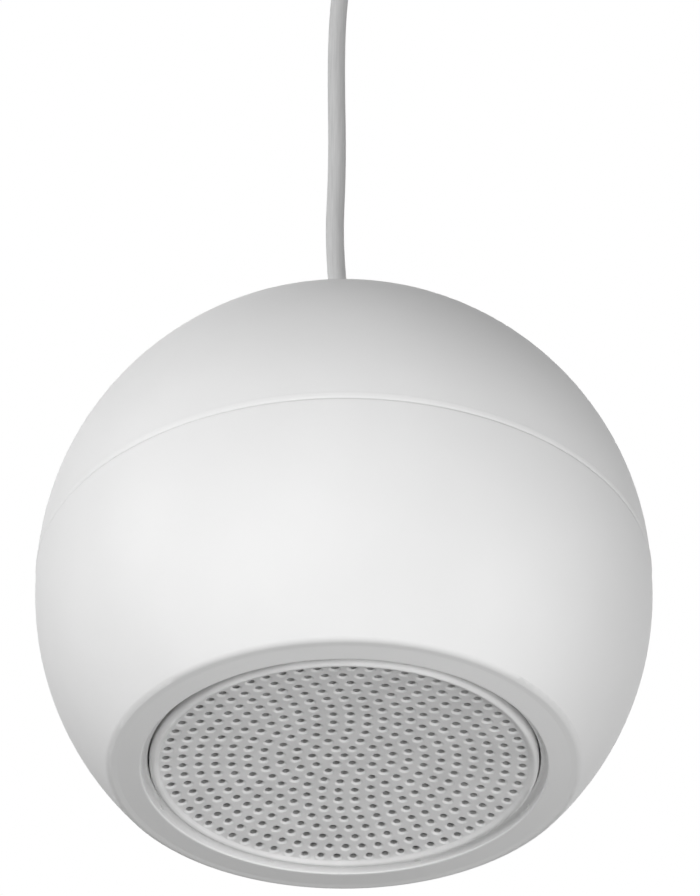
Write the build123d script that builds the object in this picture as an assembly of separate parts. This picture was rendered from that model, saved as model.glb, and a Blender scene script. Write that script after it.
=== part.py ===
from build123d import *
from math import asin, cos, pi, radians, sin, sqrt, tan
import os

os.makedirs("parts", exist_ok=True)

# A ball loudspeaker that hangs from the ceiling by its own cable and faces the floor.
# Millimetres, +Z up. The origin is on the ceiling, over the cable. The two halves of the
# ball meet in the joint plane, which hangs "drop" below the ceiling. Heights inside the
# ball are measured from the joint plane, and place() hangs each finished piece there.

drop = 312.0

# Ball: two moulded halves
ball_dia = 187.0
wall = 3.0
joint_band = 1.6          # upright band on each half at the joint
bead_height = 2.4         # raised bead on the upper half's rim
bead_out = 0.22
lip_height = 3.0          # tongue of the upper half inside the lower half's rim
lip_wall = 1.4
seal_height = 1.0
fit_gap = 0.15            # between moulded pieces that fit into each other
touch_gap = 0.05          # round a screw or a wound or glued piece

# Front of the lower half, from the grille's rim outwards
grille_gap = 0.6          # between the grille's rim and the opening
recess_width = 2.4        # grille's rim out to the recess's wall
front_ring = 9.6          # flat ring from there to where the ball would begin
front_round = 2.6         # ball into front ring
recess_depth = 2.7
recess_round = 1.6
recess_edge = 0.5
seat_inset = 7.3          # front ring in to the ledge that the grille's skirt meets
baffle_inset = 15.9       # front ring in to the front of the baffle

# Grille
grille_over = 10.4        # grille's rim beyond the driver's flange
rim_inset = 0.95          # front ring in to the plain rim's crest
dish_r = 364.5
grille_wall = 2.0
rim_width = 2.7
rim_step = 0.6            # how far the plain rim stands proud of the perforated field
rim_round = 2.0
skirt_wall = 2.0
hole_r = 1.05
hole_rings = 11
field_edge = 2.14         # middle of the outermost holes in from the rim
first_hole = 180.0
swirl = 5.0               # degrees that each ring of holes starts after the one inside it
swirl_ease = 0.15
clip_count = 4
clip_wall = 1.4
clip_angle = 11.0
hook_out = 0.7
hook_height = 1.2
hook_taper = 1.4
hook_above_seat = 4.4

# Well, baffle and pillars inside the lower half
baffle_wall = 3.0
well_wall = 2.8
rib_count = 8
rib_wall = 1.8
pillar_count = 4
pillar_r = 4.8
pillar_gap = 0.9          # between a shell screw's head and the driver's flange
pillar_meet = 4.0         # height above the joint plane where sleeve and pillar meet
sleeve_end = 4.0
shell_screw_bite = 14.0   # into the upper pillar

# Fasteners
shell_screw_r = 1.75
shell_head_r = 3.3
shell_head = 2.4
small_screw_r = 1.5
small_head_r = 2.8
small_head = 1.9
grub_r = 1.5
grub_sunk = 0.5

# Driver
basket_r = 41.4           # inside of the basket at its flange
flange_width = 5.0
gasket_width = 3.0
flange_wall = 1.0
gasket_wall = 1.0
ear_r = 4.0
ear_out = 2.0             # screw ears' middle beyond the flange
ear_boss_r = 3.2
driver_screw_bite = 7.0
basket_wall = 1.0
upright_depth = 6.8       # flange's front to where the basket starts to taper
taper_depth = 10.2
throat_r = 24.4
ledge_width = 2.6
throat_depth = 8.0        # spider's ledge to the back of the throat
throat_lip_gap = 1.45     # throat's lip outside the top plate's bore
window_angle = 54.0
top_plate_gap = 0.4       # top plate inside the throat's radius
top_plate_wall = 4.0
magnet_r = 30.0
magnet_height = 10.0
magnet_gap = 5.1          # pole to the magnet's bore
back_plate_inset = 4.0    # back plate inside the magnet's edge
back_plate_wall = 4.0
pole_r = 9.4
pole_vent_r = 3.0
coil_gap = 0.5            # running gap on each side of the voice coil
former_wall = 0.2
coil_wall = 0.4
coil_height = 7.0
former_length = 18.2
roll_width = 6.6          # cone's edge to the basket
cone_wall = 0.6
cone_lip = 3.4
cone_depth = 12.1
cone_inset = 0.1          # cone's lip behind the flange's front
surround_wall = 0.5
basket_roll = 3.4
surround_land = 4.0
dust_cap_r = 15.5
dust_cap_rise = 5.4
spider_wall = 0.4
spider_wave = 0.7
spider_folds = 8
spider_land = 2.3
tag_strip = (5.0, 14.0, 1.2)
tag_size = (9.0, 3.0, 0.6)
tag_pitch = 7.0

# Suspension plate with what it carries
plate_wall = 1.5
plate_gap = 1.8           # plate's edge to the pillars
plate_headroom = 7.5      # plate's edge to the ball's inside, level with the plate
plate_boss_inset = 6.0
plate_boss_r = 4.0
plate_screw_bite = 6.0
collar_wall = 5.5
collar_height = 7.0
core_width = 40.0
core_height = 34.0
core_stack = 16.0
core_leg = 7.0
core_gap = 2.2            # transformer's core to a plate screw's head
winding_out = 6.0
strap_wall = 1.0
strap_width = 13.0
ear_reach = 9.0
block_size = (12.0, 30.0, 13.0)
block_gap = 3.2           # terminal block to a plate screw's head
block_poles = 3
block_bore_r = 1.8
lining_wall = 6.0
lining_low = 6.0
lining_rise = 0.45        # lining's top, as a share of the ball's radius

# Cable, its ways in and the leads
cable_r = 3.05
core_r = 1.1
core_offset = 1.4
lead_r = 0.9
lead_spread = 0.6         # leads leave the winding at this share of the block's pitch
lead_slack = 8.0
speaker_slack = 12.0
tag_rise = 14.0           # bend of a speaker lead above its tag
way_in = 6.0              # straight end of a lead before a terminal block
cable_gap = 0.15
hole_gap = 1.95           # cable to the hole in the ball
grommet_flange = 2.2
grommet_wall = 1.8
spot_face_r = 8.2
spot_face_depth = 0.4
cable_tail = 4.0          # sheath below the collar
sheath_in_neck = 6.0      # sheath above the canopy's low end
# Bends of the hanging cable, as x and share of the height from the ball to the grip
cable_bends = ((0.0, 0.033), (-3.3, 0.252), (-1.9, 0.466), (-2.45, 0.714), (-1.9, 0.871))

# Ceiling fitting
canopy_r = 36.0
canopy_wall = 1.8
canopy_height = 24.0
canopy_band = 6.0
canopy_neck = 6.0         # canopy's neck outside the nipple
canopy_round = 7.0
ceiling_gap = 0.3
bracket_end_gap = 1.2     # bracket's end to the canopy
bracket_width = 16.0
bracket_wall = 1.5
slot_inset = 6.0          # middle of a slot in from the bracket's end
slot_length = 8.0
slot_r = 2.2
foot_gap = 5.0            # a slot's end to the bracket's upright
nipple_r = 5.0
nipple_bore_r = 3.6
nipple_above = 0.5        # nipple standing above the nut
nut_across = 14.0
nut_height = 2.5
grip_wall = 3.0
grip_length = 12.0
grip_bite = 5.0
ceiling_block = (10.0, 18.0, 9.0)
ceiling_block_gap = 0.6   # block to the nut

ball_r = ball_dia / 2
ball_top = joint_band + ball_r
inner_r = ball_r - wall
lip_r = inner_r + lip_wall

flange_r = basket_r + flange_width
cutout_r = flange_r - gasket_width
ear_ring_r = flange_r + ear_out
grille_r = flange_r + grille_over
recess_r = grille_r + recess_width
front_corner_r = recess_r + front_ring
front_depth = joint_band + sqrt(ball_r**2 - front_corner_r**2)
recess_floor = recess_depth - front_depth
seat_depth = front_depth - seat_inset
baffle_depth = front_depth - baffle_inset
grille_hole_r = grille_r + grille_gap
well_r = grille_r - skirt_wall - fit_gap
well_out_r = well_r + well_wall
clip_r = well_r - fit_gap
hook_level = hook_above_seat - seat_depth
field_r = grille_r - rim_width
ring_pitch = (field_r - field_edge) / hole_rings
rim_crest = rim_inset - front_depth
grille_middle = rim_crest + rim_step + field_r**2 / (2 * dish_r)

pillar_ring_r = flange_r + shell_head_r + pillar_gap
access_r = shell_head_r + fit_gap
shell_screw_level = pillar_meet - fit_gap - sleeve_end
pillar_angles = [360 / pillar_count * i for i in range(pillar_count)]
ear_angles = [a + 180 / pillar_count for a in pillar_angles]

flange_back = -baffle_depth - gasket_wall
flange_front = flange_back - flange_wall
ledge_r = throat_r + ledge_width
ledge_back = flange_front + upright_depth + taper_depth
spider_level = ledge_back - basket_wall
throat_level = spider_level + throat_depth
top_plate_r = throat_r - top_plate_gap
magnet_bore_r = pole_r + magnet_gap
back_plate_r = magnet_r - back_plate_inset
magnet_front = throat_level + top_plate_wall
magnet_back = magnet_front + magnet_height
former_r = pole_r + coil_gap + former_wall
top_plate_bore_r = former_r + touch_gap + coil_wall + coil_gap
throat_lip_r = top_plate_bore_r + throat_lip_gap
neck_r = former_r + 2 * touch_gap
cone_r = basket_r - roll_width
cone_front = flange_front + cone_inset
tag_root_r = throat_r + basket_wall + fit_gap
tag_top = ledge_back + tag_strip[2] + tag_size[2]

plate_r = pillar_ring_r - pillar_r - plate_gap
plate_level = joint_band + sqrt(inner_r**2 - (plate_r + plate_headroom) ** 2)
plate_low = plate_level - plate_wall
plate_boss_ring_r = plate_r - plate_boss_inset
spot_face = ball_top - spot_face_depth
cable_hole_r = cable_r + hole_gap
collar_r = cable_r + collar_wall
collar_middle = plate_low - collar_height / 2
cable_low = plate_low - collar_height - cable_tail
transformer_x = plate_boss_ring_r - small_head_r - core_gap - core_stack / 2
core_middle = plate_low - core_height / 2
winding_low = core_middle - core_height / 2 + core_leg + 2 * fit_gap
strap_reach = core_width / 2 + strap_wall + ear_reach
strap_screw_y = strap_reach - ear_reach / 2
block_x = -(plate_boss_ring_r - small_head_r - block_gap - block_size[0] / 2)
block_pitch = block_size[1] / block_poles
block_way = plate_low - block_size[2] / 2
lining_high = lining_rise * ball_r

# Measured from the ceiling
bracket_drop = canopy_height / 2
bracket_half = canopy_r - canopy_wall - bracket_end_gap
slot_x = bracket_half - slot_inset
span_half = slot_x - slot_length / 2 - foot_gap
span_low = -bracket_drop - bracket_wall
ceiling_way = -bracket_drop + ceiling_block[2] / 2
ceiling_block_x = nut_across / 2 + ceiling_block_gap + ceiling_block[0] / 2
canopy_neck_r = nipple_r + canopy_neck
grip_r = nipple_r + grip_wall
nipple_low = -canopy_height - grip_bite
nipple_high = -bracket_drop + nut_height + nipple_above
cable_top = sheath_in_neck - canopy_height
grip_low = -canopy_height - grip_length
grub_level = nipple_low - (grip_length - grip_bite) / 2


def place(name, solid):
    piece = Pos(0, 0, -drop) * solid
    piece.label = name
    export_step(piece, f"parts/{name}.step")


def save(name, solid):
    solid.label = name
    export_step(solid, f"parts/{name}.step")


def turned(outline, angle=360):
    return revolve(Plane.XZ * make_face(outline), Axis.Z, revolution_arc=angle)


def ring(r_in, r_out, z_low, z_high):
    outline = Polyline((r_in, z_low), (r_out, z_low), (r_out, z_high), (r_in, z_high), close=True)
    return turned(outline)


def rod(r, z_low, z_high):
    return Pos(0, 0, z_low) * Cylinder(r, z_high - z_low, align=(Align.CENTER, Align.CENTER, Align.MIN))


def around(solid, radius, angles):
    return [Rot(0, 0, a) * Pos(radius, 0, 0) * solid for a in angles]


def cap_arc(radius, level, r_from, r_to, side):
    # Part of a round profile centred on the axis at height level; side is 1 above it, -1 below.
    def at(angle):
        return (radius * sin(angle), level + side * radius * cos(angle))

    first = asin(r_from / radius)
    last = asin(r_to / radius)
    return ThreePointArc(at(first), at((first + last) / 2), at(last))


def softened(section, corner, radius):
    # Rounds the corner of a flat outline that lies at the given point.
    spot = Vector(corner[0], corner[1], 0)
    vertex = section.vertices().sort_by(lambda v: (Vector(v) - spot).length)[0]
    return fillet(vertex, radius)


def pan_screw(shank_r, head_r, head_height, length):
    # Head below z = 0, shank above it.
    head = turned(
        Curve()
        + [
            Line((0, 0), (head_r, 0)),
            Line((head_r, 0), (head_r, -head_height * 0.45)),
            ThreePointArc(
                (head_r, -head_height * 0.45), (head_r * 0.8, -head_height * 0.88), (0, -head_height)
            ),
            Line((0, -head_height), (0, 0)),
        ]
    )
    drive = Pos(0, 0, -head_height) * (
        Box(head_r, head_r * 0.28, head_height) + Box(head_r * 0.28, head_r, head_height)
    )
    return head + rod(shank_r, 0, length) - drive


def upper_shell():
    bead_r = sqrt(ball_r**2 - (bead_height - joint_band) ** 2)
    outline = Curve() + [
        cap_arc(ball_r, joint_band, 0, bead_r, 1),
        ThreePointArc((bead_r, bead_height), (ball_r + bead_out, bead_height / 2), (ball_r, 0)),
        Polyline(
            (ball_r, 0), (lip_r, 0), (lip_r, -lip_height), (inner_r, -lip_height), (inner_r, joint_band)
        ),
        cap_arc(inner_r, joint_band, inner_r, 0, 1),
        Line((0, joint_band + inner_r), (0, ball_top)),
    ]
    shell = turned(outline)
    core = Pos(0, 0, joint_band) * Sphere(ball_r - wall / 2)
    pillar = rod(pillar_r, pillar_meet, ball_top)
    boss = rod(plate_boss_r, plate_level, ball_top)
    posts = [rod(spot_face_r, spot_face - wall, ball_top)]
    posts += around(pillar, pillar_ring_r, pillar_angles)
    posts += around(boss, plate_boss_ring_r, pillar_angles)
    for post in posts:
        shell += post & core
    pilot = rod(shell_screw_r + touch_gap, pillar_meet, pillar_meet + shell_screw_bite + 2)
    boss_pilot = rod(small_screw_r + touch_gap, plate_level, plate_level + plate_screw_bite + 2)
    holes = around(pilot, pillar_ring_r, pillar_angles)
    holes += around(boss_pilot, plate_boss_ring_r, pillar_angles)
    for hole in holes:
        shell -= hole
    shell -= rod(cable_hole_r, spot_face - 2 * wall, ball_top + 1)
    return shell - rod(spot_face_r, spot_face, ball_top + 1)


def lower_shell():
    floor_r = sqrt(inner_r**2 - (front_depth - wall - joint_band) ** 2)
    rebate = lip_height + seal_height
    rim = -touch_gap
    groove_low = hook_level - hook_height - fit_gap
    groove_high = hook_level + hook_taper
    groove_r = well_r + hook_out
    baffle = -baffle_depth
    well_top = baffle + baffle_wall
    step = -seat_depth + well_wall / 2
    lower_well_r = grille_hole_r + well_wall
    floor = -front_depth + wall
    outline = Curve() + [
        Line((ball_r, rim), (ball_r, -joint_band)),
        cap_arc(ball_r, -joint_band, ball_r, front_corner_r, -1),
        Polyline(
            (front_corner_r, -front_depth),
            (recess_r, -front_depth),
            (recess_r, recess_floor),
            (grille_hole_r, recess_floor),
            (grille_hole_r, -seat_depth),
            (well_r, -seat_depth),
            (well_r, groove_low),
            (groove_r, groove_low),
            (groove_r, groove_high),
            (well_r, groove_high),
            (well_r, baffle),
            (cutout_r, baffle),
            (cutout_r, well_top),
            (well_out_r, well_top),
            (well_out_r, step),
            (lower_well_r, step),
            (lower_well_r, floor),
            (floor_r, floor),
        ),
        cap_arc(inner_r, -joint_band, floor_r, inner_r, -1),
        Polyline(
            (inner_r, -joint_band),
            (inner_r, -rebate),
            (lip_r + fit_gap, -rebate),
            (lip_r + fit_gap, rim),
            (ball_r, rim),
        ),
    ]
    section = softened(make_face(outline), (front_corner_r, -front_depth), front_round)
    section = softened(section, (recess_r, -front_depth), recess_edge)
    section = softened(section, (recess_r, recess_floor), recess_round)
    shell = revolve(Plane.XZ * section, Axis.Z)
    core = Pos(0, 0, -joint_band) * Sphere(ball_r - wall / 2)
    rib_low = -front_depth + wall / 2
    rib = Pos(well_out_r - well_wall / 2, 0, rib_low) * Box(
        ball_r,
        rib_wall,
        well_top - rib_low,
        align=(Align.MIN, Align.CENTER, Align.MIN),
    )
    rib -= rod(grille_hole_r + well_wall / 2, rib_low - 1, step)
    for a in range(rib_count):
        shell += (Rot(0, 0, 360 / rib_count * (a + 0.5)) * rib) & core
    sleeve = rod(pillar_r, baffle + baffle_wall / 2, pillar_meet - fit_gap)
    ear_boss = rod(ear_boss_r, baffle + baffle_wall / 2, baffle + driver_screw_bite + 3)
    for post in around(sleeve, pillar_ring_r, pillar_angles) + around(ear_boss, ear_ring_r, ear_angles):
        shell += post
    access = rod(access_r, baffle - 1, shell_screw_level)
    shank = rod(shell_screw_r + fit_gap, baffle, pillar_meet + 1)
    pilot = rod(small_screw_r + touch_gap, baffle - 1, baffle + driver_screw_bite + 1)
    holes = around(access + shank, pillar_ring_r, pillar_angles)
    holes += around(pilot, ear_ring_r, ear_angles)
    for hole in holes:
        shell -= hole
    return shell


def grille():
    def outer(r):
        return grille_middle - r**2 / (2 * dish_r)

    round_r = grille_r - rim_round
    skirt_r = grille_r - skirt_wall
    top = -seat_depth - fit_gap
    bend = rim_round * sqrt(0.5)
    inside = outer(skirt_r) + grille_wall
    outline = Curve() + [
        ThreePointArc((0, outer(0)), (field_r / 2, outer(field_r / 2)), (field_r, outer(field_r))),
        Polyline((field_r, outer(field_r)), (field_r + rim_step / 2, rim_crest), (round_r, rim_crest)),
        ThreePointArc(
            (round_r, rim_crest),
            (round_r + bend, rim_crest + rim_round - bend),
            (grille_r, rim_crest + rim_round),
        ),
        Polyline((grille_r, rim_crest + rim_round), (grille_r, top), (skirt_r, top), (skirt_r, inside)),
        ThreePointArc(
            (skirt_r, inside), (skirt_r / 2, outer(skirt_r / 2) + grille_wall), (0, outer(0) + grille_wall)
        ),
        Line((0, outer(0) + grille_wall), (0, outer(0))),
    ]
    plate = turned(outline)
    clip_in = clip_r - clip_wall
    clip = turned(
        Polyline(
            (clip_in, inside),
            (skirt_r + 0.1, inside),
            (skirt_r + 0.1, top - 0.3),
            (clip_r, top),
            (clip_r, hook_level - hook_height),
            (clip_r + hook_out, hook_level - hook_height / 2),
            (clip_r + hook_out, hook_level),
            (clip_r, hook_level + hook_taper),
            (clip_in, hook_level + hook_taper),
            close=True,
        ),
        clip_angle,
    )
    for i in range(clip_count):
        plate += Rot(0, 0, 360 / clip_count * (i + 0.5) - clip_angle / 2) * clip
    low = outer(field_r) - 1
    drill = rod(hole_r, low, grille_middle + grille_wall + 1)
    holes = [drill]
    for n in range(1, hole_rings + 1):
        turn = max(n - 2, 0)
        start = first_hole - (swirl * turn - swirl_ease * turn**2)
        holes += around(drill, n * ring_pitch, [start + 60 / n * i for i in range(6 * n)])
    return plate - holes


def driver_basket():
    taper = flange_front + upright_depth
    w = basket_wall
    basket = turned(
        Polyline(
            (basket_r, flange_front),
            (flange_r, flange_front),
            (flange_r, flange_back),
            (basket_r + w, flange_back),
            (basket_r + w, taper + 0.6 * w),
            (ledge_r + w, ledge_back),
            (throat_r + w, ledge_back),
            (throat_r + w, throat_level),
            (throat_lip_r, throat_level),
            (throat_lip_r, throat_level - w),
            (throat_r, throat_level - w),
            (throat_r, spider_level),
            (ledge_r + 0.4 * w, spider_level),
            (basket_r, taper),
            close=True,
        )
    )
    return with_ears(basket, flange_front, flange_back) - basket_windows(taper)


def basket_windows(taper):
    low = taper + basket_wall
    outline = Polyline(
        (ledge_r + 2.5 * basket_wall, low),
        (basket_r - 1.5 * basket_wall, low),
        (basket_r - 1.5 * basket_wall, throat_level),
        (ledge_r + 2.5 * basket_wall, throat_level),
        close=True,
    )
    window = turned(outline, window_angle)
    return [Rot(0, 0, a - window_angle / 2) * window for a in pillar_angles]


def with_ears(solid, z_low, z_high):
    # Four screw ears round a flat ring.
    inside = rod(flange_r - 1, z_low - 1, z_high + 1)
    hole = rod(small_screw_r + fit_gap, z_low - 1, z_high + 1)
    for ear in around(rod(ear_r, z_low, z_high), ear_ring_r, ear_angles):
        solid += ear - inside
    return solid - around(hole, ear_ring_r, ear_angles)


def driver_gasket():
    back = -baffle_depth
    return with_ears(ring(cutout_r + fit_gap, flange_r, flange_back, back), flange_back, back)


def set_of(screw, level, radius, angles):
    return Compound(children=[Pos(0, 0, level) * s for s in around(screw, radius, angles)])


def back_plate():
    plate = ring(0, back_plate_r, magnet_back, magnet_back + back_plate_wall)
    pole = rod(pole_r, throat_level, magnet_back + 1)
    return plate + pole - rod(pole_vent_r, throat_level - 1, magnet_back + back_plate_wall + 1)


def voice_coil():
    middle = throat_level + top_plate_wall / 2
    r_in = former_r + touch_gap
    return ring(r_in, r_in + coil_wall, middle - coil_height / 2, middle + coil_height / 2)


def cone():
    back = cone_front + cone_wall
    lip = cone_r - cone_lip
    top = cone_front + cone_depth
    return turned(
        Polyline(
            (neck_r, top),
            (lip, cone_front),
            (cone_r, cone_front),
            (cone_r, back),
            (lip, back),
            (neck_r, top + cone_wall),
            close=True,
        )
    )


def cone_face(r):
    # Height of the cone's front face at radius r.
    lip = cone_r - cone_lip
    return cone_front + cone_depth * (lip - r) / (lip - neck_r)


def dust_cap():
    edge = cone_face(dust_cap_r) - touch_gap
    inner = dust_cap_r - cone_wall
    inner_edge = cone_face(inner) - touch_gap
    rise = dust_cap_rise

    def dome(r, level, height):
        radius = (r**2 + height**2) / (2 * height)
        return cap_arc(radius, level - height + radius, r, 0, -1)

    return turned(
        Curve()
        + [
            dome(dust_cap_r, edge, rise),
            Line((0, edge - rise), (0, inner_edge - rise + cone_wall)),
            dome(inner, inner_edge, rise - cone_wall),
            Line((inner, inner_edge), (dust_cap_r, edge)),
        ]
    )


def surround():
    # Half-round roll between the cone's lip and the flange, glued on at its two flat lands.
    inner = cone_r - cone_lip + 0.2
    land = surround_wall
    low_in = cone_front - land
    low_out = flange_front - land
    crest_r = (cone_r + basket_r) / 2
    crest = flange_front - basket_roll
    return turned(
        Curve()
        + [
            Line((inner, cone_front), (cone_r, cone_front)),
            ThreePointArc((cone_r, cone_front), (crest_r, crest), (basket_r, flange_front)),
            Polyline(
                (basket_r, flange_front),
                (basket_r + surround_land, flange_front),
                (basket_r + surround_land, low_out),
                (basket_r + land, low_out),
            ),
            ThreePointArc((basket_r + land, low_out), (crest_r, crest - land), (cone_r - land, low_in)),
            Polyline((cone_r - land, low_in), (inner, low_in), (inner, cone_front)),
        ]
    )


def spider():
    # Pleated disc from the coil former out to the basket's ledge.
    level = spider_level - spider_wall
    start = former_r + touch_gap
    flat = throat_r - spider_wall
    fold = (flat - start - 1) / spider_folds
    wave = [(start + 1 + fold * i, level + spider_wave * (i % 2)) for i in range(spider_folds + 1)]
    low = [(start, level)] + wave + [(throat_r + spider_land, level)]
    high = [(r, z + spider_wall) for r, z in reversed(low)]
    return turned(Polyline(*(low + high), close=True))


def driver_tags():
    # Insulating strip on the back of the basket's ledge, with two tags on it.
    corner = (Align.MIN, Align.CENTER, Align.MIN)
    tags = Pos(tag_root_r, 0, ledge_back) * Box(*tag_strip, align=corner)
    for y in (-tag_pitch / 2, tag_pitch / 2):
        tags += Pos(tag_root_r, y, ledge_back + tag_strip[2]) * Box(*tag_size, align=corner)
    return Rot(0, 0, ear_angles[0]) * tags


def suspension_plate():
    low = plate_low - 1
    high = plate_level + 1
    holes = [rod(cable_r + 1, low, high)]
    holes += around(rod(small_screw_r + fit_gap, low, high), plate_boss_ring_r, pillar_angles)
    for y in (-strap_screw_y, strap_screw_y):
        holes.append(Pos(transformer_x, y, 0) * rod(small_screw_r + touch_gap, low, high))
    return ring(0, plate_r, plate_low, plate_level) - holes


def cable_collar():
    low = plate_low - collar_height
    collar = rod(collar_r, low, plate_low)
    collar = fillet(collar.edges().filter_by(GeomType.CIRCLE).sort_by(Axis.Z)[0], 1)
    bore = Pos(0, 0, collar_middle) * Rot(0, 90, 0) * rod(grub_r + touch_gap, cable_r, collar_r + 1)
    return collar - rod(cable_r + touch_gap, low - 1, plate_low + 1) - bore


def grub_screw(level, r_from, r_to):
    screw = rod(grub_r, r_from, r_to) - rod(grub_r / 2, r_to - 1, r_to + 1)
    return Pos(0, 0, level) * Rot(0, 90, 0) * screw


def transformer_core():
    # Stacked plates with two windows beside the middle leg.
    stack = Box(core_stack, core_width, core_height)
    window_wide = core_width / 2 - 2 * core_leg
    window_high = core_height - 2 * core_leg
    window = Box(core_stack + 2, window_wide, window_high)
    offset = core_leg + window_wide / 2
    for y in (-offset, offset):
        stack -= Pos(0, y, 0) * window
    return Pos(transformer_x, 0, core_middle) * stack


def transformer_winding():
    clear = 2 * fit_gap
    wide = core_width - 2 * core_leg - 2 * clear
    high = core_height - 2 * core_leg - 2 * clear
    outer = Box(core_stack + 2 * winding_out, wide, high)
    outer = fillet(outer.edges().filter_by(Axis.Z), winding_out / 2)
    inner = Box(core_stack + 2 * clear, 2 * core_leg + 2 * clear, high + 2)
    return Pos(transformer_x, 0, core_middle) * (outer - inner)


def transformer_strap():
    # Bent strip under the core, with an ear each side against the plate.
    top = plate_low
    half = core_width / 2 + touch_gap
    low = top - core_height - touch_gap
    reach = strap_reach
    w = strap_wall
    outline = Polyline(
        (-reach, top),
        (-half, top),
        (-half, low),
        (half, low),
        (half, top),
        (reach, top),
        (reach, top - w),
        (half + w, top - w),
        (half + w, low - w),
        (-half - w, low - w),
        (-half - w, top - w),
        (-reach, top - w),
        close=True,
    )
    strap = extrude(Plane.YZ * make_face(outline), strap_width / 2, both=True)
    strap = Pos(transformer_x, 0, 0) * strap
    for y in (-strap_screw_y, strap_screw_y):
        strap -= Pos(transformer_x, y, 0) * rod(small_screw_r + fit_gap, top - 2 * w, top + w)
    return strap


def poled_block(size, poles, bore_r, top):
    # Moulded terminal block hung below "top", with a wire way along X and a screw well at each pole.
    length, width, height = size
    body = Pos(0, 0, top - height / 2) * Box(length, width, height)
    body = fillet(body.edges().filter_by(Axis.X), 0.8)
    pitch = width / poles
    for i in range(poles):
        y = pitch * (i + 0.5 - poles / 2)
        body -= Pos(0, y, top - height / 2) * Rot(0, 90, 0) * Cylinder(bore_r, length + 2)
        body -= Pos(0, y, top - height - 1) * rod(bore_r, 0, height / 2 + 1)
        if i:
            body -= Pos(0, y - pitch / 2, top - height) * Box(length + 2, 0.8, 3)
    return body


def block_screws(size, poles, bore_r, top):
    length, width, height = size
    screw = rod(bore_r - fit_gap, 0, height * 0.22) - Box(2 * bore_r, 0.6, 0.9)
    pitch = width / poles
    spots = [pitch * (i + 0.5 - poles / 2) for i in range(poles)]
    return Compound(children=[Pos(0, y, top - height + 0.6) * screw for y in spots])


def pair_of_leads(r, bend, route):
    # route(side) gives the points of one lead of the pair.
    leads = []
    for side in (-1, 1):
        path = FilletPolyline(*route(side), radius=bend)
        leads.append(sweep(Plane(origin=path @ 0, z_dir=path % 0) * Circle(r), path=path))
    return Compound(children=leads)


def cable_cores():
    # From the sheath's end below the collar to the terminal block.
    face = block_x + block_size[0] / 2

    def route(side):
        y = side * core_offset
        pole_y = side * block_pitch
        low = cable_low - lead_slack
        turn = face + way_in
        return [(0, y, cable_low), (0, y, low), (turn, pole_y, block_way), (face, pole_y, block_way)]

    return pair_of_leads(core_r, 2.5, route)


def transformer_leads():
    # From the winding's lower end to the far side of the terminal block.
    face = block_x - block_size[0] / 2
    start = transformer_x - core_stack / 2 - winding_out / 2

    def route(side):
        y = side * block_pitch
        low = winding_low - lead_slack
        return [
            (start, y * lead_spread, winding_low - touch_gap),
            (start, y * lead_spread, low),
            (face, y, low),
            (face - way_in, y, block_way),
            (face, y, block_way),
        ]

    return pair_of_leads(lead_r, 2.5, route)


def speaker_leads():
    # From the winding's lower end down to the driver's tags.
    start = transformer_x + core_stack / 2 + winding_out / 2
    reach = tag_root_r + tag_size[0] - 2 * lead_r

    def route(side):
        end = Vector(reach, side * tag_pitch / 2, tag_top + touch_gap).rotate(Axis.Z, ear_angles[0])
        y = side * block_pitch * lead_spread
        low = winding_low - speaker_slack
        return [(start, y, winding_low - touch_gap), (start, y, low), end + Vector(0, 0, tag_rise), end]

    return pair_of_leads(lead_r, 4, route)


def damping_lining():
    outer = inner_r - fit_gap
    inner = outer - lining_wall

    def at(radius, z):
        return (sqrt(radius**2 - (z - joint_band) ** 2), z)

    def bow(radius, z_from, z_to):
        return ThreePointArc(at(radius, z_from), at(radius, (z_from + z_to) / 2), at(radius, z_to))

    return turned(
        Curve()
        + [
            bow(outer, lining_low, lining_high),
            Line(at(outer, lining_high), at(inner, lining_high)),
            bow(inner, lining_high, lining_low),
            Line(at(inner, lining_low), at(outer, lining_low)),
        ]
    )


def cable_grommet():
    neck = cable_hole_r - touch_gap
    wide = cable_hole_r + grommet_flange
    bore = cable_r + cable_gap
    inside = spot_face - wall
    return turned(
        Polyline(
            (bore, inside - grommet_wall),
            (wide, inside - grommet_wall),
            (wide, inside),
            (neck, inside),
            (neck, spot_face),
            (wide, spot_face),
            (wide, spot_face + grommet_wall * 0.4),
            (bore + 1.2, spot_face + grommet_wall),
            (bore, spot_face + grommet_wall),
            close=True,
        )
    )


def cable():
    under_grip = grip_low - cable_r
    height = under_grip + drop - ball_top
    points = [Vector(0, 0, cable_low - drop)]
    points += [Vector(x, 0, ball_top - drop + share * height) for x, share in cable_bends]
    points += [Vector(0, 0, under_grip), Vector(0, 0, cable_top)]
    radii = []
    for before, corner, after in zip(points, points[1:], points[2:]):
        turn = (corner - before).get_angle(after - corner)
        run = min((corner - before).length, (after - corner).length)
        radii.append(0.45 * run / tan(radians(turn) / 2))
    path = FilletPolyline(*points, radius=radii)
    tube = sweep(Plane(origin=path @ 0, z_dir=path % 0) * Circle(cable_r), path=path)
    print("cable: length", round(path.length, 1), "radii", [round(r) for r in radii])
    print("cable: volume", round(tube.volume), "against", round(pi * cable_r**2 * path.length))
    return tube


def ceiling_bracket():
    half = bracket_half
    span = span_half
    w = bracket_wall
    low = span_low
    outline = Polyline(
        (-half, 0),
        (-span, 0),
        (-span, low + w),
        (span, low + w),
        (span, 0),
        (half, 0),
        (half, -w),
        (span + w, -w),
        (span + w, low),
        (-span - w, low),
        (-span - w, -w),
        (-half, -w),
        close=True,
    )
    strip = extrude(Plane.XZ * make_face(outline), bracket_width / 2, both=True)
    slot = extrude(SlotOverall(slot_length, 2 * slot_r), 2 * w, both=True)
    for x in (-slot_x, slot_x):
        strip -= Pos(x, 0, 0) * slot
    return strip - rod(nipple_r + fit_gap, low - 1, 0)


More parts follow.
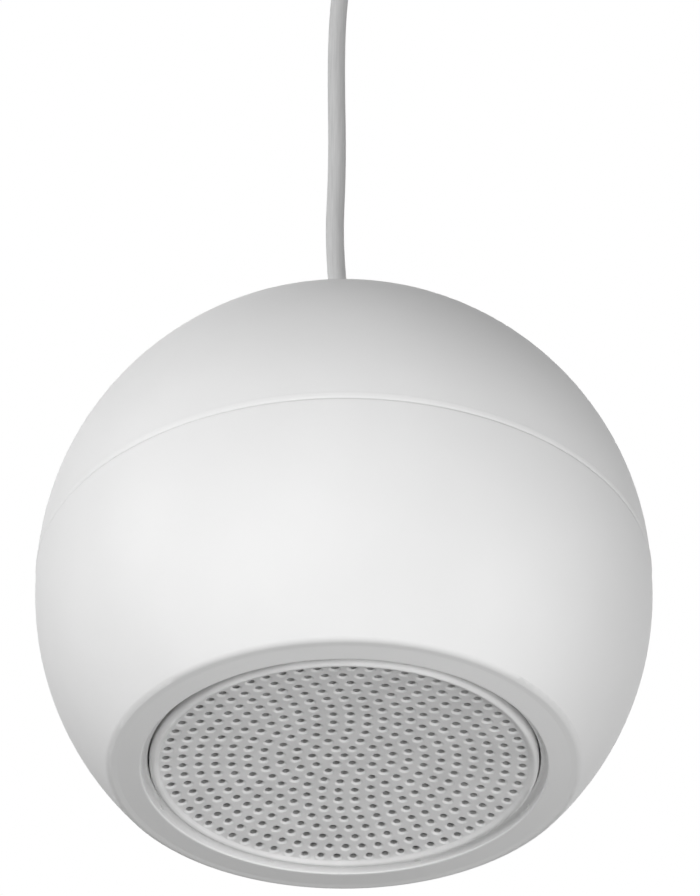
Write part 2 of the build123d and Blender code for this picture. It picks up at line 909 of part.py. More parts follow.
def bracket_nuts():
    nut = extrude(RegularPolygon(nut_across / 2, 6, major_radius=False, rotation=30), nut_height)
    nut -= rod(nipple_r + touch_gap, -1, nut_height + 1)
    return Compound(children=[Pos(0, 0, z) * nut for z in (-bracket_drop, span_low - nut_height)])


def canopy():
    low = -canopy_height
    w = canopy_wall
    outline = Polyline(
        (canopy_r, -ceiling_gap),
        (canopy_r, -canopy_band),
        (canopy_neck_r, low),
        (nipple_r + fit_gap, low),
        (nipple_r + fit_gap, low + w),
        (canopy_neck_r - w * 0.4, low + w),
        (canopy_r - w, -canopy_band + w * 0.4),
        (canopy_r - w, -ceiling_gap),
        close=True,
    )
    section = softened(make_face(outline), (canopy_r, -canopy_band), canopy_round)
    section = softened(section, (canopy_r - w, -canopy_band + w * 0.4), canopy_round - w)
    section = softened(section, (canopy_neck_r, low), w)
    return revolve(Plane.XZ * section, Axis.Z)


def cord_grip():
    top = -canopy_height
    outline = Polyline(
        (cable_r + cable_gap, grip_low),
        (grip_r * 0.7, grip_low),
        (grip_r, grip_low + 4),
        (grip_r, top),
        (nipple_r + touch_gap, top),
        (nipple_r + touch_gap, top - grip_bite),
        (cable_r + cable_gap, top - grip_bite),
        close=True,
    )
    section = softened(make_face(outline), (grip_r, grip_low + 4), 2)
    body = revolve(Plane.XZ * section, Axis.Z)
    return body - Pos(0, 0, grub_level) * Rot(0, 90, 0) * rod(grub_r + touch_gap, cable_r, grip_r + 1)


def ceiling_leads():
    # From the cable's end above the nipple to the terminal block on the bracket.
    face = ceiling_block_x - ceiling_block[0] / 2

    def route(side):
        y = side * core_offset
        pole_y = side * ceiling_block[1] / 4
        return [
            (0, y, cable_top),
            (0, y, ceiling_way),
            (face - 2, pole_y, ceiling_way),
            (face, pole_y, ceiling_way),
        ]

    return pair_of_leads(core_r, 1.3, route)


place("upper_shell", upper_shell())
place("lower_shell", lower_shell())
place("shell_seal", ring(inner_r + fit_gap, lip_r, -lip_height - seal_height, -lip_height))
shell_screw_length = sleeve_end + fit_gap + shell_screw_bite
shell_screw = pan_screw(shell_screw_r, shell_head_r, shell_head, shell_screw_length)
place("shell_screws", set_of(shell_screw, shell_screw_level, pillar_ring_r, pillar_angles))
place("grille", grille())
place("damping_lining", damping_lining())

driver_screw_length = flange_wall + gasket_wall + driver_screw_bite
driver_screw = pan_screw(small_screw_r, small_head_r, small_head, driver_screw_length)
place("driver_basket", driver_basket())
place("driver_gasket", driver_gasket())
place("driver_screws", set_of(driver_screw, flange_front, ear_ring_r, ear_angles))
place("top_plate", ring(top_plate_bore_r, top_plate_r, throat_level, magnet_front))
place("magnet", ring(magnet_bore_r, magnet_r, magnet_front, magnet_back))
place("back_plate", back_plate())
former_low = cone_face(neck_r) - former_wall
place("voice_coil_former", ring(former_r - former_wall, former_r, former_low, former_low + former_length))
place("voice_coil", voice_coil())
place("cone", cone())
place("surround", surround())
place("dust_cap", dust_cap())
place("spider", spider())
place("driver_tags", driver_tags())

plate_screw = pan_screw(small_screw_r, small_head_r, small_head, plate_wall + plate_screw_bite)
strap_screw = pan_screw(small_screw_r, small_head_r, small_head, strap_wall + plate_wall + 2)
place("suspension_plate", suspension_plate())
place("plate_screws", set_of(plate_screw, plate_low, plate_boss_ring_r, pillar_angles))
place("cable_collar", cable_collar())
place("collar_screw", grub_screw(collar_middle, cable_r + touch_gap, collar_r - grub_sunk))
place("cable_grommet", cable_grommet())
place("cable_cores", cable_cores())
block_at = Pos(block_x, 0, 0)
place("terminal_block", block_at * poled_block(block_size, block_poles, block_bore_r, plate_low))
place("terminal_screws", block_at * block_screws(block_size, block_poles, block_bore_r, plate_low))
place("transformer_core", transformer_core())
place("transformer_winding", transformer_winding())
place("transformer_strap", transformer_strap())
strap_spots = [Pos(transformer_x, y, plate_low - strap_wall) for y in (-strap_screw_y, strap_screw_y)]
place("transformer_screws", Compound(children=[spot * strap_screw for spot in strap_spots]))
place("transformer_leads", transformer_leads())
place("speaker_leads", speaker_leads())

save("cable", cable())
save("ceiling_bracket", ceiling_bracket())
save("bracket_nuts", bracket_nuts())
save("threaded_nipple", ring(nipple_bore_r, nipple_r, nipple_low, nipple_high))
save("canopy", canopy())
save("cord_grip", cord_grip())
save("grip_screw", grub_screw(grub_level, cable_r + touch_gap, grip_r - grub_sunk))
ceiling_block_at = Pos(ceiling_block_x, 0, -bracket_drop + ceiling_block[2])
save("ceiling_terminal_block", ceiling_block_at * poled_block(ceiling_block, 2, block_bore_r, 0))
save("ceiling_terminal_screws", ceiling_block_at * block_screws(ceiling_block, 2, block_bore_r, 0))
save("ceiling_leads", ceiling_leads())
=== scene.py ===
import bpy
import bmesh
from math import asin, degrees, hypot, pi, radians
from mathutils import Matrix, Vector


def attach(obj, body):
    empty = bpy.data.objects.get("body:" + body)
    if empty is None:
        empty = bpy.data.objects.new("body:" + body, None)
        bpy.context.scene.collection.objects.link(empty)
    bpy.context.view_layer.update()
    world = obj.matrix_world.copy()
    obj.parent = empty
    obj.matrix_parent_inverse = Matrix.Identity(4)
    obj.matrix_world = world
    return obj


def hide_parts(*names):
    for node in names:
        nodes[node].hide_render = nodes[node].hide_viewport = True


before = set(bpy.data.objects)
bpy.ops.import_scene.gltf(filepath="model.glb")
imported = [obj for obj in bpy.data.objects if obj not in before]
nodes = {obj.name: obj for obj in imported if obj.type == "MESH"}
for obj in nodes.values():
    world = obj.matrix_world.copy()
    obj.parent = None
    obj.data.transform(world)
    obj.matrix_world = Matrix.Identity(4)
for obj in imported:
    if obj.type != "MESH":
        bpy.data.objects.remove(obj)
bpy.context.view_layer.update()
print("frame loaded:", len(nodes), "nodes")

mm = 0.001
sceneColl = bpy.context.scene.collection


def hexColor(text):
    channels = [int(text[i:i + 2], 16) / 255 for i in (1, 3, 5)]
    linear = [c / 12.92 if c <= 0.04045 else ((c + 0.055) / 1.055) ** 2.4 for c in channels]
    return (*linear, 1)


def addObject(name, data):
    piece = bpy.data.objects.new(name, data)
    sceneColl.objects.link(piece)
    return piece


def meshFrom(bm, name):
    mesh = bpy.data.meshes.new(name)
    bm.to_mesh(mesh)
    bm.free()
    return mesh


# camera as the photograph looks, up from below and in front

cameraSetup = {
    "place": (0.6 * mm, -727.8 * mm, -822.4 * mm),
    "aim": (2.0 * mm, 0, -257.2 * mm),
    "rollDegrees": -0.2,
    "lens": 117.03,
    "sensor": 36,
    "clipStart": 50 * mm,
}


def makeCamera(c):
    data = bpy.data.cameras.new("camera")
    data.lens = c["lens"]
    data.sensor_width = c["sensor"]
    data.clip_start = c["clipStart"]
    camera = addObject("camera", data)
    look = Vector(c["aim"]) - Vector(c["place"])
    turn = look.to_track_quat("-Z", "Y").to_matrix().to_4x4()
    roll = Matrix.Rotation(radians(c["rollDegrees"]), 4, "Z")
    camera.matrix_world = Matrix.Translation(c["place"]) @ turn @ roll
    bpy.context.scene.camera = camera


makeCamera(cameraSetup)
print("camera set")

# cable: round two-core flex from the collar in the ball up into the neck of the canopy

cableSetup = {
    "diameter": 6.1 * mm,
    "route": [  # x and z in mm, from the collar to the ceiling fitting
        (0, -248.5), (0, -211.0), (-3.3, -172.1), (-1.9, -134.0),
        (-2.45, -89.9), (-1.9, -62.0), (0, -39.05), (0, -18),
    ],
    "length": 230.6 * mm,
    "roundness": 6,
    "steps": 24,  # between two points of the route
    "order": 3,
}


def makeCable(c, sheath):
    curve = bpy.data.curves.new("cableSheath", "CURVE")
    curve.materials.append(sheath)  # before the object is made, or its box comes out wrong
    curve.dimensions = "3D"
    curve.bevel_depth = c["diameter"] / 2
    curve.bevel_resolution = c["roundness"]
    curve.resolution_u = c["steps"]
    curve.use_fill_caps = True
    spline = curve.splines.new("NURBS")
    spline.points.add(len(c["route"]) - 1)
    for point, (x, z) in zip(spline.points, c["route"]):
        point.co = (x * mm, 0, z * mm, 1)
    spline.order_u = c["order"]
    spline.use_endpoint_u = True
    cable = addObject("cableSheath", curve)
    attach(cable, "housing")
    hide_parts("cable")


# grille: the perforated plate from the frame, with each hole's mouth countersunk

grilleSetup = {
    "rings": 11,
    "holesAdded": 6,  # holes that each ring has more than the one inside it
    "pitch": 4.7236 * mm,
    "firstHole": 180.0,
    "swirl": 5.0,  # degrees that each ring is turned on from the one inside it
    "swirlFrom": 2,  # rings at the middle that aren't turned
    "swirlEase": 0.15,
    "middle": -371.35 * mm,
    "dishRadius": 364.5 * mm,
    "holeRadius": 1.1 * mm,
    "sinkOut": 0.65 * mm,
    "sinkDepth": 0.36 * mm,
    "lipHeight": 0.1 * mm,
    "drumRadius": 1.5 * mm,
    "drumDepth": 3.0 * mm,
    "over": 0.1 * mm,  # how far the cutter stands out of the plate
    "sides": 20,
    "plateWeld": 0.0005 * mm,
    "cutterWeld": 0.001 * mm,
    "fieldRadius": 53.5 * mm,
    "flatAngle": 1.5,
    "sharpAngle": 25.0,
    "rimInner": 54.2 * mm,
    "rimOuter": 55.4 * mm,
    "rimMargin": 0.2 * mm,
    "rimTop": -373.9 * mm,
    "rimDrop": 0.65 * mm,
    "rimAngle": 75.0,
}


def mergedCopy(node, name, g):
    # the frame's plate as one closed mesh, without the needless points of its perforated field
    bm = bmesh.new()
    bm.from_mesh(node.data)
    bmesh.ops.remove_doubles(bm, verts=bm.verts, dist=g["plateWeld"])
    field = {vert for vert in bm.verts if hypot(vert.co.x, vert.co.y) < g["fieldRadius"]}
    inside = [edge for edge in bm.edges if field.issuperset(edge.verts)]
    bmesh.ops.dissolve_limit(
        bm, angle_limit=radians(g["flatAngle"]), verts=list(field), edges=inside,
    )
    return addObject(name, meshFrom(bm, name))


def holeCutter(g):
    # one hole's section turned round Z: the countersunk mouth, the thin lip and the wider drum
    slope = g["sinkOut"] / g["sinkDepth"]
    mouth = g["holeRadius"] + g["sinkOut"] + slope * g["over"]
    lip = g["sinkDepth"] + g["lipHeight"]
    section = [
        (0, -g["over"]), (mouth, -g["over"]),
        (g["holeRadius"], g["sinkDepth"]), (g["holeRadius"], lip),
        (g["drumRadius"], lip), (g["drumRadius"], g["drumDepth"]), (0, g["drumDepth"]),
    ]
    bm = bmesh.new()
    verts = [bm.verts.new((x, 0, z)) for x, z in section]
    edges = [bm.edges.new(pair) for pair in zip(verts, verts[1:])]
    bmesh.ops.spin(
        bm, geom=verts + edges, axis=(0, 0, 1), cent=(0, 0, 0), angle=radians(360),
        steps=g["sides"], use_merge=True,
    )
    bmesh.ops.remove_doubles(bm, verts=bm.verts, dist=g["cutterWeld"])
    bmesh.ops.recalc_face_normals(bm, faces=bm.faces)
    return meshFrom(bm, "holeCutter")


def holeCutters(g):
    # the cutter repeated at each hole, square to the dish
    one = holeCutter(g)
    bm = bmesh.new()
    for ring in range(g["rings"] + 1):
        turn = max(ring - g["swirlFrom"], 0)
        start = g["firstHole"] - (g["swirl"] * turn - g["swirlEase"] * turn ** 2)
        radius = ring * g["pitch"]
        level = g["middle"] - radius ** 2 / (2 * g["dishRadius"])
        tilt = Matrix.Rotation(asin(radius / g["dishRadius"]), 4, "Y")
        count = max(g["holesAdded"] * ring, 1)
        for i in range(count):
            around = Matrix.Rotation(radians(start + 360 / count * i), 4, "Z")
            place = around @ Matrix.Translation((radius, 0, level)) @ tilt
            before = len(bm.verts)
            bm.from_mesh(one)
            bm.verts.ensure_lookup_table()
            bmesh.ops.transform(bm, matrix=place, verts=bm.verts[before:])
    return addObject("holeCutters", meshFrom(bm, "holeCutters"))


def makeGrille(g):
    plate = mergedCopy(nodes["grille"], "countersunkGrille", g)
    cutters = holeCutters(g)
    cut = plate.modifiers.new("sink", "BOOLEAN")
    cut.operation = "DIFFERENCE"
    cut.solver = "MANIFOLD"  # needs a closed plate, and else leaves it uncut
    cut.object = cutters
    graph = bpy.context.evaluated_depsgraph_get()
    mesh = bpy.data.meshes.new_from_object(plate.evaluated_get(graph))
    plate.modifiers.clear()
    bm = bmesh.new()
    bm.from_mesh(mesh)
    # the border's outer edge made fuller, and smooth where the field keeps its holes' edges sharp
    out = {vert: hypot(vert.co.x, vert.co.y) - g["rimInner"] for vert in bm.verts}
    for vert in bm.verts:
        if out[vert] > 0 and vert.co.z < g["rimTop"]:
            share = out[vert] / (g["rimOuter"] - g["rimInner"])
            vert.co.z -= g["rimDrop"] * min(share, 1)
    for face in bm.faces:
        face.smooth = True
    for edge in bm.edges:
        onRim = min(out[vert] for vert in edge.verts) > -g["rimMargin"]
        limit = g["rimAngle"] if onRim else g["sharpAngle"]
        edge.smooth = degrees(edge.calc_face_angle(pi)) < limit
    triangles = sum(len(face.verts) - 2 for face in bm.faces)
    openEdges = sum(not edge.is_manifold for edge in bm.edges)
    print("grille:", triangles, "triangles,", openEdges, "open edges")
    bm.to_mesh(plate.data)
    bm.free()
    bpy.data.objects.remove(cutters)
    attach(plate, "housing")
    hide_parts("grille")
    return plate


grille = makeGrille(grilleSetup)
print("grille countersunk")

# materials


def addNode(tree, kind, links=(), feeds=(), stops=(), **settings):
    # links bring other nodes' outputs in; feeds send this node's first output on
    node = tree.nodes.new(kind)
    for i, (place, color) in enumerate(stops):
        if i > 1:
            node.color_ramp.elements.new(place)
        shade = hexColor(color) if isinstance(color, str) else (color, color, color, 1)
        node.color_ramp.elements[i].position = place
        node.color_ramp.elements[i].color = shade
    for key, value in settings.items():
        if hasattr(node, key):
            setattr(node, key, value)
        else:
            node.inputs[key.replace("_", " ")].default_value = value
    for source, output, target in links:
        tree.links.new(source.outputs[output], node.inputs[target])
    for target, socket in feeds:
        tree.links.new(node.outputs[0], target.inputs[socket])
    return node


def newMaterial(name, **sockets):
    mat = bpy.data.materials.new(name)
    mat.use_nodes = True
    shader = mat.node_tree.nodes["Principled BSDF"]
    for key, value in sockets.items():
        shader.inputs[key.replace("_", " ")].default_value = value
    where = addNode(mat.node_tree, "ShaderNodeTexCoord")
    return mat, mat.node_tree, shader, where


def surfaceFrom(pattern, tree, shader, s, under=()):
    # one pattern gives the colour between two shades, the gloss where s has a range, and the relief
    addNode(
        tree, "ShaderNodeValToRGB", [(pattern, 0, 0)], [(shader, "Base Color")],
        stops=zip(s["spread"], s["colors"]),
    )
    if "gloss" in s:
        addNode(
            tree, "ShaderNodeMapRange", [(pattern, 0, 0)], [(shader, "Roughness")],
            To_Min=s["gloss"][0], To_Max=s["gloss"][1],
        )
    addNode(
        tree, "ShaderNodeBump", [(pattern, 0, "Height"), *under], [(shader, "Normal")],
        Strength=1.0, Distance=s["depth"],
    )


def wear(pieces, mat):
    for piece in pieces:
        piece.data.materials.clear()
        piece.data.materials.append(mat)


def dress(names, mat):
    wear([nodes[name] for name in names], mat)


# in the tables below colors, spread and depth belong to the pattern, gloss is a range of roughness

absSetup = {
    "colors": ("#e6e6e6", "#eaeaea"),
    "spread": (0.3, 0.7),
    "flowMarks": 45 * mm,
    "grain": 0.7 * mm,  # the real spark-eroded grain is nearer 0.1 mm, drawn coarser so it shows
    "grainDepth": 0.012 * mm,
    "gloss": (0.46, 0.54),
    "sheen": 0.2,
    "relief": (),
}
jointRelief = {  # the bead's upper slope eased away, and the lower rim's edge rounded over 0.5 mm
    "across": (0, 0, 1),
    "profile": [
        (309.6 * mm, 0.22 * mm), (310.8 * mm, 0.0), (312.0 * mm, 0.0), (312.5 * mm, 0.14 * mm),
    ],
}
ringRelief = {  # front ring very slightly domed
    "across": (1, 1, 0),
    "profile": [(60.0 * mm, 0.5 * mm), (66.0 * mm, 0.0)],
}
upperSetup = {**absSetup, "relief": (jointRelief,)}
lowerSetup = {**absSetup, "relief": (jointRelief, ringRelief)}
plateSetup = {
    **absSetup, "colors": ("#dddddd", "#e7e7e7"), "flowMarks": 12 * mm, "grainDepth": 0.02 * mm,
}


def mouldedAbs(name, s):
    # white ABS from a spark-eroded tool: an even, matt white with a soft sheen and very fine
    # grain, and over them the relief that is too slight to model, by distance along its axes
    mat, tree, shader, where = newMaterial(name, IOR=1.54, Specular_IOR_Level=s["sheen"])
    flow = addNode(
        tree, "ShaderNodeTexNoise", [(where, "Object", "Vector")],
        Scale=1 / s["flowMarks"], Detail=2.0,
    )
    addNode(
        tree, "ShaderNodeValToRGB", [(flow, 0, 0)], [(shader, "Base Color")],
        stops=zip(s["spread"], s["colors"]),
    )
    grain = addNode(
        tree, "ShaderNodeTexNoise", [(where, "Object", "Vector")],
        Scale=1 / s["grain"], Detail=3.0,
    )
    addNode(
        tree, "ShaderNodeMapRange", [(grain, 0, 0)], [(shader, "Roughness")],
        To_Min=s["gloss"][0], To_Max=s["gloss"][1],
    )
    skin = addNode(
        tree, "ShaderNodeBump", [(grain, 0, "Height")], [(shader, "Normal")],
        Strength=1.0, Distance=s["grainDepth"],
    )
    for relief in s["relief"]:
        places, heights = zip(*relief["profile"])
        span, rise = places[-1] - places[0], max(heights)
        stops = [((at - places[0]) / span, height / rise) for at, height in relief["profile"]]
        across = addNode(
            tree, "ShaderNodeMapping", [(where, "Object", "Vector")], Scale=relief["across"],
        )
        far = addNode(tree, "ShaderNodeVectorMath", [(across, 0, 0)], operation="LENGTH")
        along = addNode(
            tree, "ShaderNodeMapRange", [(far, "Value", 0)],
            From_Min=places[0], From_Max=places[-1],
        )
        shape = addNode(tree, "ShaderNodeValToRGB", [(along, 0, 0)], stops=stops)
        skin = addNode(
            tree, "ShaderNodeBump", [(shape, 0, "Height")], [(skin, "Normal")],
            Strength=1.0, Distance=rise,
        )
    return mat


pvcSetup = {
    "colors": ("#c3c3c3", "#cfcfcf"),
    "spread": (0.3, 0.7),
    "lineWidth": 0.6 * mm,
    "lineLength": 16 * mm,
    "depth": 0.03 * mm,
    "coreSwell": 30 * mm,
    "swellDepth": 0.5 * mm,
    "gloss": (0.42, 0.52),
}


def extrudedPvc(s):
    # grey flex of extruded PVC: satin, with faint lines drawn along it and the cores' slow swell
    mat, tree, shader, where = newMaterial("extrudedPvc", IOR=1.53, Specular_IOR_Level=0.2)
    stretch = addNode(
        tree, "ShaderNodeMapping", [(where, "Object", "Vector")],
        Scale=(1 / s["lineWidth"], 1 / s["lineWidth"], 1 / s["lineLength"]),
    )
    lines = addNode(
        tree, "ShaderNodeTexNoise", [(stretch, 0, "Vector")], Scale=1.0, Detail=2.0,
    )
    swell = addNode(
        tree, "ShaderNodeTexNoise", [(where, "Object", "Vector")],
        Scale=1 / s["coreSwell"], Detail=0.0,
    )
    slow = addNode(
        tree, "ShaderNodeBump", [(swell, 0, "Height")], Strength=1.0, Distance=s["swellDepth"],
    )
    surfaceFrom(lines, tree, shader, s, [(slow, 0, "Normal")])
    return mat


softSetup = {  # small plastic and rubber pieces
    "softPvcGrommet": {
        "pieces": ("cable_grommet",), "colors": ("#bcbcbc", "#c6c6c6"),
        "grain": 0.8 * mm, "depth": 0.02 * mm, "gloss": (0.5, 0.62), "ior": 1.53,
    },
    "whiteLeadPvc": {
        "pieces": ("cable_cores", "transformer_leads", "speaker_leads", "ceiling_leads"),
        "colors": ("#d8d5cb", "#e2dfd6"),
        "grain": 1.2 * mm, "depth": 0.01 * mm, "gloss": (0.38, 0.46), "ior": 1.53,
    },
    "mouldedNylon": {
        "pieces": ("terminal_block", "ceiling_terminal_block"), "colors": ("#ddd8c4", "#e8e3d2"),
        "grain": 0.6 * mm, "depth": 0.015 * mm, "gloss": (0.4, 0.5), "ior": 1.53,
    },
    "butylRubber": {
        "pieces": ("surround",), "colors": ("#151515", "#1f1f20"),
        "grain": 1.5 * mm, "depth": 0.02 * mm, "gloss": (0.55, 0.7), "ior": 1.52,
    },
    "cellularSeal": {
        "pieces": ("driver_gasket", "shell_seal"), "colors": ("#161616", "#232323"),
        "grain": 0.5 * mm, "depth": 0.09 * mm, "gloss": (0.85, 0.95), "ior": 1.5,
    },
}
softSpread = (0.35, 0.65)


def grainyMould(name, s):
    # even, matt and grained all over, as small moulded and foamed pieces come out of their tools
    mat, tree, shader, where = newMaterial(name, IOR=s["ior"])
    grain = addNode(
        tree, "ShaderNodeTexNoise", [(where, "Object", "Vector")], Scale=1 / s["grain"], Detail=2.0,
    )
    surfaceFrom(grain, tree, shader, {**s, "spread": softSpread})
    return mat


metalSetup = {  # grain is the size of the crystals or tool marks
    "zincPlatedSteel": {
        "pieces": (
            "suspension_plate", "cable_collar", "transformer_strap", "ceiling_bracket",
            "bracket_nuts", "threaded_nipple", "shell_screws", "driver_screws", "plate_screws",
            "collar_screw", "transformer_screws", "grip_screw",
        ),
        "colors": ("#c3c5c8", "#a9acb0"),
        "grain": 0.5 * mm, "depth": 0.006 * mm, "gloss": (0.26, 0.42),
    },
    "turnedPoleSteel": {
        "pieces": ("top_plate", "back_plate"), "colors": ("#a5a5a8", "#8d8d90"),
        "grain": 0.4 * mm, "depth": 0.008 * mm, "gloss": (0.3, 0.45),
    },
    "tinnedBrass": {
        "pieces": ("driver_tags", "terminal_screws", "ceiling_terminal_screws"),
        "colors": ("#cdb87f", "#b79f64"),
        "grain": 0.5 * mm, "depth": 0.006 * mm, "gloss": (0.28, 0.4),
    },
    "formerFoil": {
        "pieces": ("voice_coil_former",), "colors": ("#c9cbcc", "#b5b7b9"),
        "grain": 0.8 * mm, "depth": 0.004 * mm, "gloss": (0.22, 0.32),
    },
}
metalSpread = (0.1, 0.8)


def platedMetal(name, s):
    # bright metal whose fine crystals or tool marks break its reflections up a little
    mat, tree, shader, where = newMaterial(name, Metallic=1.0)
    grain = addNode(
        tree, "ShaderNodeTexVoronoi", [(where, "Object", "Vector")], Scale=1 / s["grain"],
    )
    surfaceFrom(grain, tree, shader, {**s, "spread": metalSpread})
    return mat


powderSetup = {
    "colors": ("#131314", "#1c1c1e"), "spread": (0.3, 0.7),
    "peel": 1.4 * mm, "depth": 0.04 * mm, "gloss": (0.38, 0.5),
}


def powderCoat(s):
    # black polyester powder baked on pressed steel: satin, with the soft dimples of orange peel
    mat, tree, shader, where = newMaterial("powderCoat", IOR=1.5)
    peel = addNode(
        tree, "ShaderNodeTexNoise", [(where, "Object", "Vector")], Scale=1 / s["peel"], Detail=1.0,
    )
    surfaceFrom(peel, tree, shader, s)
    return mat


ferriteSetup = {
    "colors": ("#232324", "#38383a"), "spread": (0.45, 0.7),
    "grit": 0.45 * mm, "depth": 0.03 * mm, "gloss": (0.55, 0.75),
}


def groundFerrite(s):
    # sintered ferrite, ground flat: charcoal grey and dull, with paler specks of torn grain
    mat, tree, shader, where = newMaterial("groundFerrite", IOR=2.3)
    grit = addNode(
        tree, "ShaderNodeTexNoise", [(where, "Object", "Vector")],
        Scale=1 / s["grit"], Detail=5.0, Roughness=0.7,
    )
    surfaceFrom(grit, tree, shader, s)
    return mat


paperSetup = {
    "colors": ("#161617", "#262628"),
    "spread": (0.4, 0.65),
    "fibreLength": 3.0 * mm,
    "fibreWidth": 0.4 * mm,
    "depth": 0.06 * mm,
    "gloss": (0.8, 0.95),
}


def pressedPaper(s):
    # felted and pressed paper pulp, dyed black: dull, with short fibres lying every way
    mat, tree, shader, where = newMaterial("pressedPaper", IOR=1.47)
    felt = addNode(
        tree, "ShaderNodeTexNoise", [(where, "Object", "Vector")],
        Scale=1 / s["fibreLength"], Detail=6.0, Distortion=s["fibreLength"] / s["fibreWidth"],
    )
    surfaceFrom(felt, tree, shader, s)
    return mat


waveRepeat = 0.314  # a wave texture's band comes again after this over its scale

bandSetup = {  # pieces made of many thin layers or turns, a pitch apart
    "enamelledCopper": {
        "pieces": ("voice_coil", "transformer_winding"), "colors": ("#7a3a1c", "#b8673a"),
        "pitch": 0.4 * mm, "along": "Z", "depth": 0.1 * mm, "rough": 0.3, "metal": 1.0,
    },
    "varnishedLaminations": {
        "pieces": ("transformer_core",), "colors": ("#2c2c2e", "#4a4a4d"),
        "pitch": 0.5 * mm, "along": "X", "depth": 0.04 * mm, "rough": 0.42, "metal": 0.0,
    },
}
bandSpread = (0.2, 0.8)


def layered(name, s):
    # wire turns or steel plates lying side by side: a fine, regular ribbing under clear varnish
    mat, tree, shader, where = newMaterial(name, Metallic=s["metal"], Roughness=s["rough"])
    bands = addNode(
        tree, "ShaderNodeTexWave", [(where, "Object", "Vector")], bands_direction=s["along"],
        Scale=waveRepeat / s["pitch"], Distortion=0.4, Detail=1.0,
    )
    surfaceFrom(bands, tree, shader, {**s, "spread": bandSpread})
    return mat


clothSetup = {
    "colors": ("#9c7636", "#d0a55c"), "spread": (0.0, 0.5),
    "thread": 0.6 * mm, "depth": 0.08 * mm, "rough": 0.7,
}


def dippedCloth(s):
    # open cotton weave stiffened with amber resin: matt, with its crossing threads plain to see
    mat, tree, shader, where = newMaterial("dippedCloth", Roughness=s["rough"])
    warp, weft = [
        addNode(
            tree, "ShaderNodeTexWave", [(where, "Object", "Vector")], bands_direction=along,
            Scale=waveRepeat / s["thread"], Distortion=0.3,
        )
        for along in ("X", "Y")
    ]
    weave = addNode(
        tree, "ShaderNodeMath", [(warp, 1, 0), (weft, 1, 1)], operation="MULTIPLY",
    )
    surfaceFrom(weave, tree, shader, s)
    return mat


feltSetup = {
    "colors": ("#c9c9c6", "#e4e4e1"), "spread": (0.3, 0.7), "tuft": 1.6 * mm, "depth": 0.6 * mm,
}


def polyesterFelt(s):
    # loose white polyester wadding: fluffy and dull, with a faint bloom along its edges
    mat, tree, shader, where = newMaterial("polyesterFelt", Roughness=0.95, Sheen_Weight=0.3)
    tuft = addNode(
        tree, "ShaderNodeTexNoise", [(where, "Object", "Vector")],
        Scale=1 / s["tuft"], Detail=6.0, Distortion=2.0,
    )
    surfaceFrom(tuft, tree, shader, s)
    return mat


dress(("upper_shell",), mouldedAbs("upperAbs", upperSetup))
dress(("lower_shell",), mouldedAbs("lowerAbs", lowerSetup))
dress(("canopy", "cord_grip"), mouldedAbs("canopyAbs", absSetup))
wear([grille], mouldedAbs("grilleAbs", plateSetup))
makeCable(cableSetup, extrudedPvc(pvcSetup))
print("white plastic done and cable hung")

for table, material in ((softSetup, grainyMould), (metalSetup, platedMetal), (bandSetup, layered)):
    for name, setup in table.items():
        dress(setup["pieces"], material(name, setup))
dress(("driver_basket",), powderCoat(powderSetup))
dress(("magnet",), groundFerrite(ferriteSetup))
dress(("cone", "dust_cap"), pressedPaper(paperSetup))
dress(("spider",), dippedCloth(clothSetup))
dress(("damping_lining",), polyesterFelt(feltSetup))
bare = [
    name for name, node in nodes.items()
    if not (node.data.materials and node.data.materials[0].use_nodes)
]
print("inner pieces done; without a material:", bare)

# light, floor and backdrop

lampSetup = {  # soft discs round the ball, aimed at it
    "frontLeft": {"place": (-0.495, -1.262, -0.663), "size": 0.9, "watts": 10.4},
    "sideLeft": {"place": (-1.272, -0.517, -0.040), "size": 0.9, "watts": 8.7},
    "lowLeft": {"place": (-1.148, -0.635, -0.800), "size": 0.9, "watts": 1.3},
    "right": {"place": (1.146, -0.633, -0.808), "size": 0.9, "watts": 7.8},
    "underRight": {"place": (0.491, -0.654, -1.448), "size": 0.9, "watts": 5.1},
    "behind": {"place": (0.0, 1.106, 0.546), "size": 0.6, "watts": 8.0},
}
ballCentre = Vector((0, 0, -312 * mm))


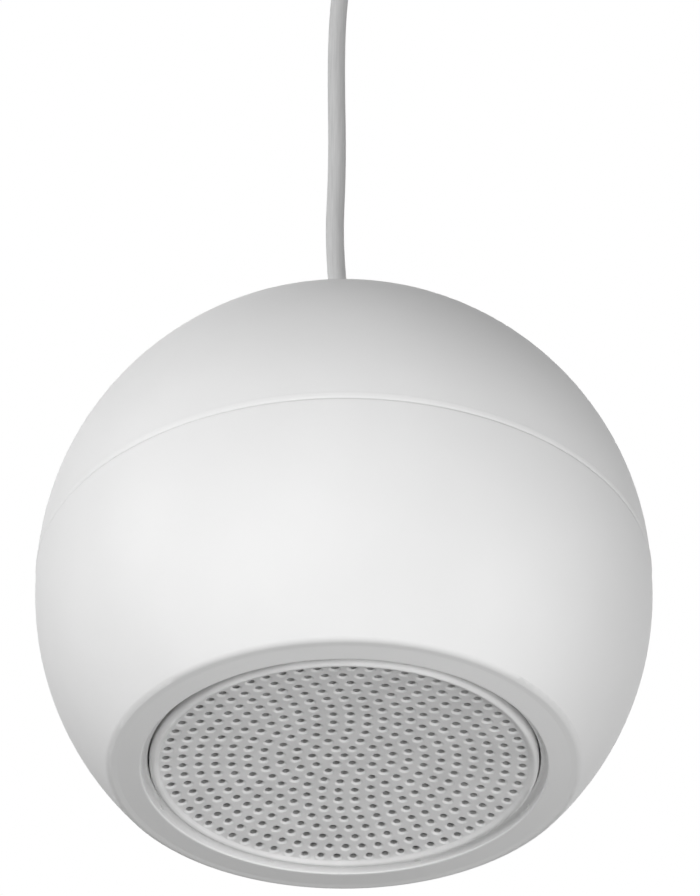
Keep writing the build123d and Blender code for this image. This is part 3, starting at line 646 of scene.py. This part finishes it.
def makeLamps(lamps):
    for name, setup in lamps.items():
        data = bpy.data.lights.new(name, "AREA")
        data.shape = "DISK"
        data.size = setup["size"]
        data.energy = setup["watts"]
        lamp = addObject(name, data)
        lamp.location = setup["place"]
        lamp.rotation_mode = "QUATERNION"
        lamp.rotation_quaternion = (ballCentre - lamp.location).to_track_quat("-Z", "Y")
        lamp.visible_camera = False


def seenByEye(tree, *feeds):
    # 1 for rays from the camera and in gloss and glass, 0 for the light that falls on things
    path = addNode(tree, "ShaderNodeLightPath")
    direct = addNode(
        tree, "ShaderNodeMath", [(path, "Is Camera Ray", 0), (path, "Is Glossy Ray", 1)],
        operation="MAXIMUM",
    )
    addNode(
        tree, "ShaderNodeMath", [(direct, 0, 0), (path, "Is Transmission Ray", 1)], feeds,
        operation="MAXIMUM",
    )


def makeWorld():
    # plain white behind everything, without lighting the object
    world = bpy.data.worlds.new("studio")
    world.use_nodes = True
    white = world.node_tree.nodes["Background"]
    white.inputs["Color"].default_value = hexColor("#ffffff")
    seenByEye(world.node_tree, (white, "Strength"))
    bpy.context.scene.world = world


floorSetup = {
    "size": 8.0,
    "level": -2.4,
    "colors": ("#e4e4e2", "#e9e9e7"),
    "spread": (0.3, 0.7),
    "mottle": 0.4,
    "glow": "#dcdcda",
}


def paintedScreed(s):
    # pale floor paint on smooth screed: matt, very slightly uneven, and pale to the camera
    mat, tree, shader, where = newMaterial(
        "paintedScreed", Roughness=0.7, Emission_Color=hexColor(s["glow"]),
    )
    seenByEye(tree, (shader, "Emission Strength"))
    mottle = addNode(
        tree, "ShaderNodeTexNoise", [(where, "Object", "Vector")],
        Scale=1 / s["mottle"], Detail=3.0,
    )
    addNode(
        tree, "ShaderNodeValToRGB", [(mottle, 0, 0)], [(shader, "Base Color")],
        stops=zip(s["spread"], s["colors"]),
    )
    return mat


def makeFloor(f):
    # the floor of the room that the ball hangs in
    bm = bmesh.new()
    bmesh.ops.create_grid(bm, x_segments=1, y_segments=1, size=f["size"] / 2)
    bmesh.ops.translate(bm, verts=bm.verts, vec=(0, 0, f["level"]))
    floor = addObject("paleFloor", meshFrom(bm, "paleFloor"))
    wear([floor], paintedScreed(f))


makeFloor(floorSetup)
makeLamps(lampSetup)
makeWorld()
bpy.context.scene.view_settings.view_transform = "Standard"
print("floor, lamps and world done")

print("scene ready")
